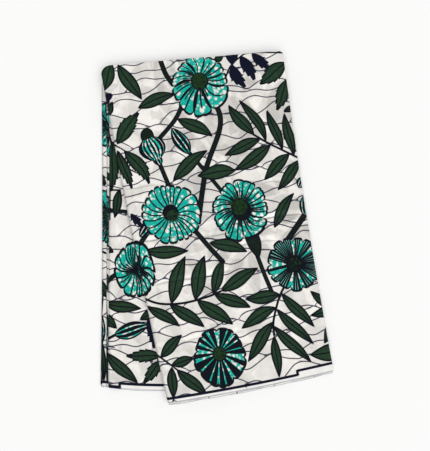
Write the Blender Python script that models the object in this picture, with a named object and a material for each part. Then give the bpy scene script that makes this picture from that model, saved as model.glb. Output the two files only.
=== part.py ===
"""A length of printed cotton, folded and laid flat, its upper folds fanned over the lower ones.

The front, towards -Y, has the woven edges. The fold of the cloth's full width lies at the back.
Each node is a stretch of the one length that shows, and hidden_layers is what lies inside.
"""

import math
from collections import namedtuple

import bmesh
import bpy
from mathutils import Vector

# Sizes in metres. A wall here is two plies of cloth with the air between them.
GAP = 0.0003
WALL = 0.0020
FOLD_LOWER = 0.0030
FOLD_UPPER = 0.0024
FRONT_LAYER = 0.0017
FRONT_GAP = 0.0005
HIDDEN = 0.0044
GROOVE = 0.0018
SET_BACKS = (0.0014, 0.0021, 0.0008)
DROOP_START = 0.007
DROOP_REACH = 0.070
CROWDING = 0.5
FRONT_LAYER_ROWS = 5

# Heights of the lower bundle's layers, one on another
FOLD_UPPER_BASE = FOLD_LOWER + GAP
UNDER_BASE = FOLD_UPPER_BASE + FOLD_UPPER + GAP
LOWER_TOP = UNDER_BASE + WALL + GAP

Panel = namedtuple("Panel", "front_left front_right back_right back_left bows radii cells")
Bows = namedtuple("Bows", "front left right")
Radii = namedtuple("Radii", "front_left front_right back_right back_left")
Cells = namedtuple("Cells", "across back")
Ridge = namedtuple("Ridge", "start end height half_width")

# Each fold as it lies: its corners, how far its sides bow, its corners' radii and its cells
FAN = Panel(
    front_left=(-0.078, -0.3005),
    front_right=(0.1985, -0.2475),
    back_right=(0.120, 0.313),
    back_left=(-0.204, 0.284),
    bows=Bows(front=-0.003, left=-0.003, right=-0.0035),
    radii=Radii(0.005, 0.002, 0.007, 0.017),
    cells=Cells(18, 44),
)
FRONT_UPPER = FAN._replace(front_left=(-0.0775, -0.3020), front_right=(0.1985, -0.2515))
FRONT_LOWER = FAN._replace(front_left=(-0.0740, -0.3030), front_right=(0.1970, -0.2500))
UNDER = Panel(
    front_left=(-0.178, -0.275),
    front_right=(0.062, -0.268),
    back_right=(0.100, 0.296),
    back_left=(-0.187, 0.272),
    bows=Bows(front=-0.008, left=0.0, right=0.0),
    radii=Radii(0.002, 0.006, 0.006, 0.012),
    cells=Cells(14, 34),
)
UPPER_STRIP = Panel(
    front_left=(-0.182, -0.2735),
    front_right=(0.057, -0.266),
    back_right=(0.095, 0.294),
    back_left=(-0.193, 0.269),
    bows=Bows(front=-0.007, left=0.001, right=0.0),
    radii=Radii(0.002, 0.006, 0.006, 0.012),
    cells=Cells(10, 22),
)
LOWER_STRIP = Panel(
    front_left=(-0.1915, -0.273),
    front_right=(0.052, -0.264),
    back_right=(0.090, 0.291),
    back_left=(-0.202, 0.264),
    bows=Bows(front=-0.006, left=0.002, right=0.0),
    radii=Radii(0.003, 0.006, 0.006, 0.014),
    cells=Cells(10, 22),
)

# The creases that stand out on the top panel, where it was folded smaller before
TOP_RIDGES = (
    Ridge((-0.180, -0.046), (0.172, -0.008), 0.0034, 0.016),
    Ridge((-0.150, 0.006), (0.150, 0.028), 0.0016, 0.010),
    Ridge((-0.120, -0.098), (0.060, -0.088), 0.0016, 0.012),
    Ridge((-0.190, 0.214), (0.136, 0.240), 0.0020, 0.018),
    Ridge((-0.020, 0.124), (0.150, 0.082), 0.0022, 0.014),
    Ridge((-0.070, 0.250), (-0.060, 0.050), 0.0016, 0.013),
    Ridge((0.020, -0.130), (0.186, -0.150), 0.0018, 0.014),
    Ridge((-0.104, -0.205), (0.070, -0.188), 0.0014, 0.014),
)
UNDER_RIDGES = (
    Ridge((-0.190, -0.052), (-0.146, -0.048), 0.0014, 0.012),
    Ridge((-0.186, -0.148), (-0.128, -0.140), 0.0012, 0.012),
    Ridge((-0.182, -0.224), (-0.112, -0.230), 0.0012, 0.012),
)

PALE = (0.78, 0.76, 0.73, 1.0)
GREEN = (0.07, 0.13, 0.07, 1.0)
TEAL = (0.03, 0.42, 0.33, 1.0)


def clear_scene():
    for thing in list(bpy.data.objects):
        bpy.data.objects.remove(thing, do_unlink=True)


def lerp(a, b, t):
    return a + (b - a) * t


def bulge(t):
    """0 at both ends of a side, and 1 at its middle."""
    return 4 * t * (1 - t)


def crowded(t):
    """Even steps from 0 to 1, drawn together towards both ends, where the corners and edges are."""
    return t - CROWDING * math.sin(2 * math.pi * t) / (2 * math.pi)


def smooth_fall(t):
    """From 1 at 0 down to 0 at 1, level at both ends."""
    t = min(max(t, 0.0), 1.0)
    return 1 - t * t * (3 - 2 * t)


def round_corner(a, b, radius):
    """Distances from two sides, drawn in so that the corner between the sides is an arc."""
    if max(a, b) >= radius:
        return a, b
    p = 1 - a / radius
    q = 1 - b / radius
    return radius * (1 - p * math.sqrt(1 - q * q / 2)), radius * (1 - q * math.sqrt(1 - p * p / 2))


def width(panel):
    return (Vector(panel.front_right) - Vector(panel.front_left)).length


def length(panel):
    return (Vector(panel.back_left) - Vector(panel.front_left)).length


def plan(panel, u, v):
    """The place on a panel that is u of the way across and v of the way back."""
    wide = width(panel)
    deep = length(panel)
    for radius, right, rear in zip(panel.radii, (0, 1, 1, 0), (0, 0, 1, 1)):
        across, back = round_corner(abs(right - u) * wide, abs(rear - v) * deep, radius)
        u = abs(right - across / wide)
        v = abs(rear - back / deep)
    front = lerp(Vector(panel.front_left), Vector(panel.front_right), u)
    rear = lerp(Vector(panel.back_left), Vector(panel.back_right), u)
    x, y = lerp(front, rear, v)
    x += bulge(v) * lerp(panel.bows.left, panel.bows.right, u)
    y += bulge(u) * lerp(panel.bows.front, 0.0, v)
    return x, y


def past_sides(panel, x, y):
    """How far a place lies outside a panel's sides, and below 0 inside them."""
    corners = [Vector(panel.front_left), Vector(panel.front_right)]
    corners += [Vector(panel.back_right), Vector(panel.back_left)]
    furthest = -math.inf
    for near, far in zip(corners, corners[1:] + corners[:1]):
        side = (far - near).normalized()
        out = (x - near.x) * side.y - (y - near.y) * side.x
        furthest = max(furthest, out)
    return furthest


def ridge_height(ridges, x, y):
    """How far the creases lift the cloth at a place."""
    height = 0.0
    for ridge in ridges:
        start = Vector(ridge.start)
        run = Vector(ridge.end) - start
        offset = Vector((x, y)) - start
        along = offset.dot(run) / run.length_squared
        aside = offset.cross(run) / run.length
        if 0 < along < 1:
            height += ridge.height * math.exp(-((aside / ridge.half_width) ** 2)) * bulge(along) ** 0.5
    return height


def rest_height(x, y):
    """The underside of the upper bundle, on the lower one and then down to the surface beside it."""
    beyond = past_sides(UNDER, x, y) - DROOP_START
    return LOWER_TOP * smooth_fall(beyond / DROOP_REACH)


def fold_rim(thick, steps=3):
    """A half round edge, as rows of how far in and how far up."""
    radius = thick / 2
    rows = []
    for step in range(steps + 1):
        angle = math.pi * (step / steps - 0.5)
        rows.append((radius * (1 - math.cos(angle)), 0.5 + 0.5 * math.sin(angle)))
    return rows


def layered_rim():
    """The edge of the hidden folds, one on another, each set back a little differently."""
    rows = [(GROOVE, 0.0)]
    for fold, set_back in enumerate(SET_BACKS):
        for share, groove in ((0.25, 0.0), (0.75, 0.0), (1.0, GROOVE)):
            rows.append((set_back + groove, (fold + share) / len(SET_BACKS)))
    return rows


def cotton(name, colour):
    material = bpy.data.materials.new(name)
    material.use_nodes = True
    shader = material.node_tree.nodes["Principled BSDF"]
    shader.inputs["Base Color"].default_value = colour
    shader.inputs["Roughness"].default_value = 0.85
    shader.inputs["Metallic"].default_value = 0.0
    return material


def cloth_body(name, panel, rim, under, thick, colour, rows=None):
    """One closed body: a grid over its panel, extruded, its edge cut into rows and drawn in by the rim.

    rows are the first and last of the panel's rows that it covers. Bodies that lie on each other
    share their panel's rows, so that their facets stay apart.
    """
    bm = bmesh.new()
    across, back = panel.cells
    first, last = rows or (0, back)
    bmesh.ops.create_grid(bm, x_segments=across, y_segments=last - first, size=0.5)
    bmesh.ops.translate(bm, verts=bm.verts, vec=(0.5, 0.5, 0.0))
    raised = bmesh.ops.extrude_face_region(bm, geom=bm.faces[:])
    upper = [item for item in raised["geom"] if isinstance(item, bmesh.types.BMVert)]
    bmesh.ops.translate(bm, verts=upper, vec=(0.0, 0.0, 1.0))
    upright = [edge for edge in bm.edges if abs(edge.verts[0].co.z - edge.verts[1].co.z) > 0.5]
    steps = len(rim) - 1
    bmesh.ops.subdivide_edges(bm, edges=upright, cuts=steps - 1, use_grid_fill=True)
    for vert in bm.verts:
        inset, share = rim[round(vert.co.z * steps)]
        aside = inset / width(panel)
        ahead = inset / length(panel)
        u = crowded(vert.co.x)
        v = crowded(lerp(first, last, vert.co.y) / back)
        u += aside * (1 - 2 * vert.co.x)
        v += ahead * (1 - 2 * vert.co.y)
        x, y = plan(panel, u, v)
        vert.co = (x, y, under(x, y) + share * thick)
    bmesh.ops.recalc_face_normals(bm, faces=bm.faces)
    mesh = bpy.data.meshes.new(name)
    bm.to_mesh(mesh)
    bm.free()
    mesh.materials.append(cotton(name, colour))
    mesh.shade_smooth()
    body = bpy.data.objects.new(name, mesh)
    bpy.context.scene.collection.objects.link(body)
    return body


def surface_height(x, y):
    return 0.0


def upper_strip_base(x, y):
    return FOLD_UPPER_BASE


def under_base(x, y):
    return UNDER_BASE + ridge_height(UNDER_RIDGES, x, y)


def front_upper_base(x, y):
    return rest_height(x, y) + FRONT_LAYER + FRONT_GAP


def top_base(x, y):
    return rest_height(x, y) + HIDDEN + FRONT_GAP + ridge_height(TOP_RIDGES, x, y)


def lower_bundle():
    """The folds that lie on the surface, stepped at the left, and the panel over them."""
    cloth_body("left_fold_lower", LOWER_STRIP, fold_rim(FOLD_LOWER), surface_height, FOLD_LOWER, TEAL)
    cloth_body("left_fold_upper", UPPER_STRIP, fold_rim(FOLD_UPPER), upper_strip_base, FOLD_UPPER, TEAL)
    cloth_body("under_panel", UNDER, fold_rim(WALL), under_base, WALL, GREEN)


def upper_bundle():
    """The fanned folds: the layers inside, the two woven edges in front of them, and the top panel."""
    rim = fold_rim(FRONT_LAYER)
    front_rows = (0, FRONT_LAYER_ROWS)
    inside_rows = (FRONT_LAYER_ROWS, FAN.cells.back)
    cloth_body("hidden_layers", FAN, layered_rim(), rest_height, HIDDEN, PALE, inside_rows)
    cloth_body("front_layer_lower", FRONT_LOWER, rim, rest_height, FRONT_LAYER, PALE, front_rows)
    cloth_body("front_layer_upper", FRONT_UPPER, rim, front_upper_base, FRONT_LAYER, PALE, front_rows)
    cloth_body("top_panel", FAN, fold_rim(WALL), top_base, WALL, GREEN)


def centre_on_origin():
    """Moves every mesh alike, so that the origin is under the middle of the whole."""
    bodies = [thing for thing in bpy.data.objects if thing.type == "MESH"]
    places = [vert.co for body in bodies for vert in body.data.vertices]
    middle_x = (min(p.x for p in places) + max(p.x for p in places)) / 2
    middle_y = (min(p.y for p in places) + max(p.y for p in places)) / 2
    for body in bodies:
        for vert in body.data.vertices:
            vert.co.x -= middle_x
            vert.co.y -= middle_y


clear_scene()
lower_bundle()
upper_bundle()
centre_on_origin()
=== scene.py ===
import math
from collections import namedtuple
from functools import partialmethod

import bmesh
import bpy
import numpy as np
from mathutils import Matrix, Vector


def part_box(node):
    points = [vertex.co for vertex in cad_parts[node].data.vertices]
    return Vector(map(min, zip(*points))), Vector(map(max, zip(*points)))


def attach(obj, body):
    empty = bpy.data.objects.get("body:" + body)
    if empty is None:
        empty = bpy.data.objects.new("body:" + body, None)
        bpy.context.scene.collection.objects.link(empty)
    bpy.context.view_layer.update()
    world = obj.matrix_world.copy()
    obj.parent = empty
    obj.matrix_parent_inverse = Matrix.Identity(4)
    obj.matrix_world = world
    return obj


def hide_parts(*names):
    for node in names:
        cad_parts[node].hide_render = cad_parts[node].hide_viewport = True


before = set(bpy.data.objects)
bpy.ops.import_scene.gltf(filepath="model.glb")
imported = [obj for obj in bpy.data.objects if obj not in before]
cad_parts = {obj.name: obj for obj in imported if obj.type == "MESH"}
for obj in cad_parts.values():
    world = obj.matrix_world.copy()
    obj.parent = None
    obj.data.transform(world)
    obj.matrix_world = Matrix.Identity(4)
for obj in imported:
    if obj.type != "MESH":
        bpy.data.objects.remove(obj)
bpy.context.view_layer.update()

# Sizes of the folded cloth, in metres
WALL = 0.0020
FOLD_LOWER = 0.0030
FOLD_UPPER = 0.0024
HIDDEN = 0.0044
GAP = 0.0003
FRONT_GAP = 0.0005
DROOP_START = 0.007
DROOP_REACH = 0.070
UPPER_STRIP_BASE = FOLD_LOWER + GAP
UNDER_BASE = UPPER_STRIP_BASE + FOLD_UPPER + GAP
LOWER_TOP = UNDER_BASE + WALL + GAP

# A ply's thickness, the steps round a fold's edge, the margin that the outermost ply turns under,
# and how deep the layers with a woven edge are, before the hidden ones take over
PLY = 0.00036
RIM_STEPS = 4
FLAP = 0.026
FRONT_DEPTH = 0.036

Panel = namedtuple("Panel", "front_left front_right back_right back_left bows radii")
Bows = namedtuple("Bows", "front left right")
Radii = namedtuple("Radii", "front_left front_right back_right back_left")
Ridge = namedtuple("Ridge", "start end height half_width")


def rows(kind, *table):
    """A table whose columns have the names of its kind."""
    return [kind(*row) for row in table]


FAN = Panel(
    front_left=(-0.078, -0.3005),
    front_right=(0.1985, -0.2475),
    back_right=(0.120, 0.313),
    back_left=(-0.204, 0.284),
    bows=Bows(front=-0.003, left=-0.003, right=-0.0035),
    radii=Radii(0.005, 0.002, 0.007, 0.017),
)
UNDER = Panel(
    front_left=(-0.178, -0.275),
    front_right=(0.062, -0.268),
    back_right=(0.100, 0.296),
    back_left=(-0.187, 0.272),
    bows=Bows(front=-0.008, left=0.0, right=0.0),
    radii=Radii(0.002, 0.006, 0.006, 0.012),
)
UPPER_STRIP = Panel(
    front_left=(-0.182, -0.2735),
    front_right=(0.057, -0.266),
    back_right=(0.095, 0.294),
    back_left=(-0.193, 0.269),
    bows=Bows(front=-0.007, left=0.001, right=0.0),
    radii=Radii(0.002, 0.006, 0.006, 0.012),
)
LOWER_STRIP = Panel(
    front_left=(-0.1915, -0.273),
    front_right=(0.052, -0.264),
    back_right=(0.090, 0.291),
    back_left=(-0.202, 0.264),
    bows=Bows(front=-0.006, left=0.002, right=0.0),
    radii=Radii(0.003, 0.006, 0.006, 0.014),
)

MM = 0.001

# The tables of creases and of the print are in millimetres. These creases stand out, where the
# cloth was folded smaller before
TOP_RIDGES = rows(
    Ridge,
    ((-180, -46), (172, -8), 3.4, 16),
    ((-150, 6), (150, 28), 1.6, 10),
    ((-120, -98), (60, -88), 1.6, 12),
    ((-190, 214), (136, 240), 2, 18),
    ((-20, 124), (150, 82), 2.2, 14),
    ((-70, 250), (-60, 50), 1.6, 13),
    ((20, -130), (186, -150), 1.8, 14),
    ((-104, -205), (70, -188), 1.4, 14),
)
UNDER_RIDGES = rows(
    Ridge,
    ((-190, -52), (-146, -48), 1.4, 12),
    ((-186, -148), (-128, -140), 1.2, 12),
    ((-182, -224), (-112, -230), 1.2, 12),
)

# Finer creases: some stand up and some sink, and none is even
TOP_CREASES = rows(
    Ridge,
    ((-120, -26), (30, -20), 0.9, 4.5),
    ((20, -30), (176, -26), 1, 5),
    ((-60, -62), (120, -50), -0.4, 6),
    ((-90, 12), (40, 18), 0.7, 3.5),
    ((30, 14), (150, 40), 0.7, 4),
    ((-84, -104), (-10, -84), 0.7, 4),
    ((70, -78), (180, -88), 0.6, 5),
    ((-160, 180), (-40, 196), 0.5, 5),
    ((-10, 232), (128, 262), 0.7, 4.5),
    ((-20, 176), (90, 150), 0.6, 4.5),
    ((60, 66), (156, 56), 0.7, 4),
    ((100, 116), (136, 30), 0.6, 4.5),
    ((116, 76), (150, -10), 0.6, 4),
    ((-130, 120), (-100, 20), 0.5, 4.5),
    ((-30, 240), (-18, 130), 0.5, 4),
    ((-150, 252), (-60, 262), 0.5, 5),
    ((10, -180), (130, -200), 0.5, 5),
    ((-80, -150), (0, -140), 0.5, 4.5),
    ((120, -190), (186, -180), 0.5, 4.5),
    ((-60, -240), (40, -232), 0.4, 5),
    ((70, -228), (150, -222), 0.4, 4.5),
    ((-166, 60), (-90, 84), -0.4, 7),
    ((0, 60), (80, 90), -0.4, 8),
    ((-110, -140), (20, -118), -0.4, 8),
)
UNDER_CREASES = rows(
    Ridge,
    ((-184, -10), (-140, -4), 0.5, 4.5),
    ((-182, -96), (-124, -104), 0.5, 4.5),
    ((-178, -188), (-110, -180), 0.5, 4.5),
    ((-150, -252), (-96, -246), 0.4, 5),
    ((-166, 40), (-156, -70), 0.4, 6),
)
CREASE_WANDER = 2.4
SWELL = 0.28 * MM

# An open bud is drawn as a bud and a cup as a calyx, but each has its own outline
LANCE, TOOTHED, NAVY, BUD, CALYX = range(5)
OPEN_BUD = BUD + 0.25
CUP = CALYX + 0.25
SLIMNESS = {BUD: 0.70, OPEN_BUD: 0.50, CALYX: 0.38}

# The print lies in a panel's own axes, from its front left corner
Flower = namedtuple(
    "Flower", "centre radius squash seed petals group depth dark hatched fringe disc ring shade lift swell",
    defaults=(0.03, 0.0, 0.0, 0.0, 0.25, 0.03, 0.0, 0.0, 0.0),
)
Leaf = namedtuple("Leaf", "base tip width bend kind", defaults=(0.0, LANCE))
Stem = namedtuple("Stem", "path width")
Spray = namedtuple("Spray", "path left right width")
Sprig = namedtuple("Sprig", "share spread length bend wide", defaults=(0.0, 1.0))
Pressed = namedtuple("Pressed", "start end strength")
Layout = namedtuple("Layout", "border flowers leaves stems sprays pressed", defaults=((),) * 5)
Border = namedtuple("Border", "low high step")
Sway = namedtuple("Sway", "height length")
PETAL_LINE = 1.25
SPRAY_STEM = 4.0

# What the material is told of a flower, three values to an attribute
FLOWER_PARTS = {
    "Petals": ("petals", "group", "seed"),
    "Ink": ("dark", "hatched", "fringe"),
    "Centre": ("disc", "ring", "shade"),
    "Lines": ("depth", "line", "swell"),
}

TOP_FLOWERS = (
    Flower(
        (154.5, 540), 52.5, 1.09, 12, 20, 2,
        depth=0.11, fringe=0.02, disc=0.26, lift=11, swell=0.042,
    ),
    Flower((63, 311.5), 51.5, 1.06, 40, 23, 1, depth=0.02, disc=0.18, ring=0.09, shade=-0.10),
    Flower(
        (181, 301), 50, 1.11, 75, 24, 3,
        depth=0.16, fringe=0.26, disc=0.29, ring=0.05, shade=0.13, lift=5, swell=0.012,
    ),
    Flower((254, 188), 48, 1.02, 27, 13, 1, depth=0.07, hatched=1.0, fringe=0.12, disc=0.23, ring=0.08),
    Flower((99, 64), 46, 1.08, 5, 17, 2, depth=0.06, dark=1.0, disc=0.215, ring=0.04, lift=6),
    Flower((-9, 230), 28, 1.85, 8, 14, 2, depth=0.11, disc=0.0, ring=0.19),
)
TOP_LEAVES = rows(
    Leaf,
    ((8, 600), (-15, 550), 25),
    ((18, 595), (49, 521), 25, -0.01),
    ((39, 508), (110, 520), 24, 0.06),
    ((-24, 531), (-1, 542), 18, 0.0, NAVY),
    ((-19, 503), (-2, 529), 16),
    ((103, 476), (159, 433), 24, 0.04),
    ((76, 368), (146, 411), 25, 0.05),
    ((186, 366), (118, 369), 27, -0.03),
    ((7, 258), (81, 243), 23, -0.04),
    ((-6, 163), (43, 119), 19, 0.03),
    ((117, 250), (179, 222), 23, 0.05),
    ((231, 254), (279, 310), 20, 0.05),
    ((-8, 451), (39, 500), 28, 0.035, TOOTHED),
    ((2, 438), (35, 371), 24, 0.07, TOOTHED),
    ((-9, 441), (4, 368), 19, 0.0, TOOTHED),
    ((312, 543), (258, 511), 29, 0.0, TOOTHED),
    ((308, 512), (278, 459), 23, 0.0, TOOTHED),
    ((312, 461), (288, 455), 12),
    ((306, 96), (270, 139), 18),
    ((318, 101), (261, 97), 19),
    ((318, 28), (247, 33), 30),
    ((302, 84), (275, 46), 18),
    ((216, 557), (231, 510), 21, -0.07, NAVY),
    ((234, 570), (250, 521), 21, 0.03, NAVY),
    ((255, 571), (280, 534), 18, 0.0, NAVY),
    ((217, 555), (222, 600), 23, 0.0, NAVY),
    ((-6, 326), (10, 298), 12, 0.0, NAVY),
    ((187, 566), (206, 580), 14),
    ((46, 453), (57, 410), 47, 0.0, OPEN_BUD),
    ((54, 420), (60, 398), 17, 0.0, BUD),
    ((113, 410), (91, 462), 26, 0.0, BUD),
    ((3, 282), (32, 308), 22, 0.0, BUD),
    ((288, 266), (294, 302), 18, 0.0, BUD),
    ((288, 317), (302, 335), 18, 0.0, BUD),
    ((45, 443), (48, 470), 24, 0.0, CALYX),
    ((195, 207), (187, 282), 25, 0.0, CUP),
    ((1, 75), (44, 106), 20, 0.02),
    ((17, 60), (57, 64), 18),
    ((17, 57), (10, 4), 18),
    ((24, 51), (67, -1), 21),
)
TOP_STEMS = rows(
    Stem,
    (((91, 604), (94, 585), (98, 562), (106, 542)), 9.0),
    (((122, 508), (100, 476), (66, 447)), 8.3),
    (((172, 498), (178, 468), (170, 438), (139, 384), (124, 345), (108, 296)), 9.5),
    (((59, 402), (64, 378), (70, 350)), 8.0),
    (((112, 414), (132, 378), (158, 330)), 7.0),
    (((96, 278), (114, 246), (134, 214)), 8.5),
    (((-9, 259), (4, 273), (18, 288)), 9.0),
    (((193, 216), (199, 180), (206, 146)), 7.5),
    (((246, 226), (270, 250), (300, 280)), 10.5),
    (((196, 524), (211, 551), (231, 566), (252, 572), (310, 561)), 3.0),
    (((88, 30), (86, 17)), 15.0),
    (((-10, 449), (-44, 470)), 3.5),
    (((-10, 448), (-3, 443), (5, 435)), 3.0),
    (((-14, 92), (1, 76), (17, 59), (28, 47)), 3.4),
    (((11.5, 6), (7, -1)), 2.2),
    (((9.5, 5), (15, -1)), 2.2),
    (((131, 4), (134, -2)), 2.0),
)
TOP_SPRAYS = (
    Spray(
        ((-14, 181), (16, 164), (55, 157.5), (95, 160), (121, 165)),
        (
            (0.37, 72, 86, 0.035, 1.13), (0.62, 63, 79, 0.03, 1.13),
            (0.86, 51, 65, 0.02, 0.90), (1.0, 10, 76, 0.01, 1.04),
        ),
        (
            (0.35, 34, 72, 0.01, 0.95), (0.65, 50, 75, 0.0, 1.06),
            (0.87, 43, 67, 0.0, 0.96),
        ),
        23,
    ),
    Spray(
        ((306, 364), (258, 398), (228, 424)),
        (
            (0.04, 78, 72, 0.0, 0.90), (0.22, 71, 67, -0.02),
            (0.52, 63, 80, 0.04, 1.10), (0.80, 57, 71, -0.02),
        ),
        (
            (0.13, 54, 80, 0.02, 0.84), (0.32, 45, 80, 0.0, 0.80),
            (0.66, 28, 92, -0.075, 0.80), (0.96, 20, 72, 0.03),
        ),
        22.5,
    ),
    Spray(
        ((236, 162), (219, 141), (208, 121), (198, 97), (195, 76)),
        (
            (0.22, 70, 82, -0.01, 0.88), (0.52, 61, 89, -0.01, 0.84),
            (0.81, 46, 90, -0.01, 0.86), (1.0, 3, 72, 0.0, 0.78),
        ),
        ((0.25, 59, 61, 0.02, 1.05), (0.50, 44, 70, -0.05), (0.74, 26, 81, -0.02)),
        22.5,
    ),
)
TOP_PRESSED = rows(
    Pressed,
    ((138, 275), (294, 271), 1.0),
    ((40, 309), (100, 307), 0.9),
    ((2, 197), (150, 195), 0.7),
    ((-6, 275), (72, 270), 0.8),
    ((96, 263), (206, 258), 0.6),
    ((190, 262), (296, 265), 0.6),
    ((150, 238), (240, 233), 0.5),
    ((-10, 370), (60, 366), 0.4),
    ((226, 336), (294, 330), 0.5),
    ((20, 95), (150, 93), 0.4),
)
TOP_PRINT = Layout(Border(6.6, 13.5, 222), TOP_FLOWERS, TOP_LEAVES, TOP_STEMS, TOP_SPRAYS, TOP_PRESSED)

UNDER_FLOWERS = (Flower((48, 195), 37, 1.34, 9, 16, 2, depth=0.10, fringe=0.12, disc=0.0, ring=0.14),)
UNDER_LEAVES = rows(
    Leaf,
    ((12, 424), (8, 334), 24, 0.0, TOOTHED),
    ((23, 338), (13, 285), 17),
    ((-6, 141), (58, 129), 21, -0.03),
    ((-18, 128), (16, 96), 20),
    ((11, 86), (69, 101), 28, 0.0, BUD),
    ((-3, 58), (51, 4), 21, -0.03),
    ((90, 49), (31, 51), 21, 0.0, TOOTHED),
    ((90, 42), (59, 5), 19, 0.0, TOOTHED),
    ((-10, 238), (12, 226), 14),
    ((54, 110), (89, 131), 17),
    ((70.5, 120), (77, 62), 15, 0.0, NAVY),
)
UNDER_STEMS = rows(
    Stem,
    (((-4, 302), (34, 297)), 6.5),
    (((-4, 337), (24, 335)), 3.5),
    (((-8, 168), (8, 184), (26, 194)), 8.5),
    (((-6, 77), (14, 87)), 5.0),
    (((4, 440), (10, 415)), 4.0),
    (((84, 60), (84, 36)), 3.5),
    (((6, 345), (5, 283)), 3.0),
)
UNDER_PRINT = Layout(Border(2.2, 8.2, 18.8), UNDER_FLOWERS, UNDER_LEAVES, UNDER_STEMS)

UPPER_STRIP_PRINT = Layout(
    flowers=(
        Flower((24, 434), 44, 1.0, 3, 28, 2, fringe=0.7),
        Flower((20, 276), 46, 1.0, 20, 28, 2, fringe=0.7),
    ),
    leaves=rows(
        Leaf,
        ((-6, 196), (16, 150), 18),
        ((4, 116), (3, 58), 15, 0.0, BUD),
        ((6, 60), (2, 6), 12),
        ((-8, 372), (14, 350), 14),
    ),
    stems=(Stem(((0, 160), (3, 110), (2, 60), (4, 4)), 3.0), Stem(((-4, 330), (12, 318)), 5.0)),
    border=Border(7.0, 13.5, 219),
)
LOWER_STRIP_PRINT = Layout(
    flowers=(
        Flower((26, 452), 44, 1.0, 10, 28, 2, fringe=0.7),
        Flower((22, 290), 48, 1.0, 30, 28, 2, fringe=0.7),
    ),
    leaves=rows(
        Leaf,
        ((-8, 186), (14, 146), 19),
        ((3, 120), (4, 70), 13, 0.0, BUD),
        ((0, 90), (6, 4), 14),
        ((-6, 368), (14, 344), 16, 0.0, TOOTHED),
    ),
    stems=(Stem(((6, 150), (2, 100), (5, 50), (2, 4)), 3.5), Stem(((-4, 232), (12, 224)), 4.0)),
    border=Border(7.0, 13.5, 219),
)

# The layers under the top panel show only their bare woven edges, with the ends of a few strokes
FRONT_PRINT = Layout(
    stems=tuple(
        Stem(((x, -8), (x + lean, -3)), 2.0)
        for x, lean in ((36, 2), (68, 1), (115, 1), (177, 4), (250, -2))
    ),
    border=Border(60, 60, 219),
)

# Thin lines wander across the ground: each goes its own way, and where two meet they run as one
ROW_SPACING = 18.0
ROW_COUNT = 36
ROW_SWAYS = (Sway(6.0, 124), Sway(3.6, 66), Sway(0.5, 31))
ROW_LEAN = Sway(9.5, 170)
ROWS_MEET = 3.0
ROW_REACH = 5.0

# The print of the ply beneath shows through mirrored, and a fold's underside is printed mirrored
SHOW_THROUGH = Vector((376.0, 148.0))
UNDERSIDE_MIRROR = 40.0

FULL_TURN = 2 * math.pi
TINY = 1e-6

# A gap past every motif, a place off every flower, and how far in from an edge its slope is taken
FAR = 1e3
OFF_FLOWER = 9.0
STEP_IN = 0.002


def lerp(a, b, t):
    return a + (b - a) * t


def bulge(t):
    """0 at both ends of a side, and 1 at its middle."""
    return 4 * t * (1 - t)


def smooth_fall(t):
    """From 1 at 0 down to 0 at 1, level at both ends."""
    t = np.clip(t, 0.0, 1.0)
    return 1 - t * t * (3 - 2 * t)


def width(panel):
    return (Vector(panel.front_right) - Vector(panel.front_left)).length


def length(panel):
    return (Vector(panel.back_left) - Vector(panel.front_left)).length


def round_corner(a, b, radius):
    """Distances from two sides, drawn in so that the corner between the sides is an arc."""
    near = np.maximum(a, b) < radius
    p = np.clip(1 - a / radius, 0, 1)
    q = np.clip(1 - b / radius, 0, 1)
    across = radius * (1 - p * np.sqrt(1 - q * q / 2))
    back = radius * (1 - q * np.sqrt(1 - p * p / 2))
    return np.where(near, across, a), np.where(near, back, b)


def plan(panel, u, v):
    """The places on a panel that are u of the way across and v of the way back."""
    wide = width(panel)
    deep = length(panel)
    for radius, right, rear in zip(panel.radii, (0, 1, 1, 0), (0, 0, 1, 1)):
        across, back = round_corner(np.abs(right - u) * wide, np.abs(rear - v) * deep, radius)
        u = np.abs(right - across / wide)
        v = np.abs(rear - back / deep)
    front_x = lerp(panel.front_left[0], panel.front_right[0], u)
    front_y = lerp(panel.front_left[1], panel.front_right[1], u)
    rear_x = lerp(panel.back_left[0], panel.back_right[0], u)
    rear_y = lerp(panel.back_left[1], panel.back_right[1], u)
    x = lerp(front_x, rear_x, v) + bulge(v) * lerp(panel.bows.left, panel.bows.right, u)
    y = lerp(front_y, rear_y, v) + bulge(u) * lerp(panel.bows.front, 0.0, v)
    return x, y


def middle_of_frame(samples=600):
    """Where the frame's origin lies among the panels, from the top panel's place in both."""
    side = np.linspace(0.0, 1.0, samples)
    start = side * 0
    end = start + 1
    x, y = plan(FAN, np.concatenate((start, end, side, side)), np.concatenate((side, side, end, start)))
    low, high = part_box("top_panel")
    return (x.min() + x.max() - low[0] - high[0]) / 2, (y.min() + y.max() - low[1] - high[1]) / 2


MIDDLE = middle_of_frame()


def beside(start, end, x, y):
    """How far along a line places are, as a share of it, how far to its left, and its length."""
    run = np.subtract(end, start, dtype=float)
    size = np.hypot(*run)
    dx = x - start[0]
    dy = y - start[1]
    return (dx * run[0] + dy * run[1]) / size**2, (dy * run[0] - dx * run[1]) / size, size


def past_sides(panel, x, y):
    """How far places lie outside a panel's sides, and below 0 inside them."""
    corners = (panel.front_left, panel.front_right, panel.back_right, panel.back_left)
    sides = zip(corners, corners[1:] + corners[:1])
    return np.max([-beside(near, far, x, y)[1] for near, far in sides], axis=0)


def ridge_height(ridges, x, y, wander=0.0):
    """How far creases lift the cloth, each fading to its ends and, where it wanders, uneven."""
    height = np.zeros_like(x)
    for number, ridge in enumerate(ridges):
        along, aside, _ = beside(ridge.start, ridge.end, x / MM, y / MM)
        aside = aside - wander * np.sin(along * 8 + number * 2.1)
        fade = np.sqrt(np.clip(bulge(along), 0.0, 1.0))
        if wander:
            fade = fade * (0.72 + 0.28 * np.sin(along * 13 + number))
        inside = (along > 0) & (along < 1)
        height += np.where(inside, ridge.height * fade * np.exp(-((aside / ridge.half_width) ** 2)), 0.0)
    return height * MM


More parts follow.
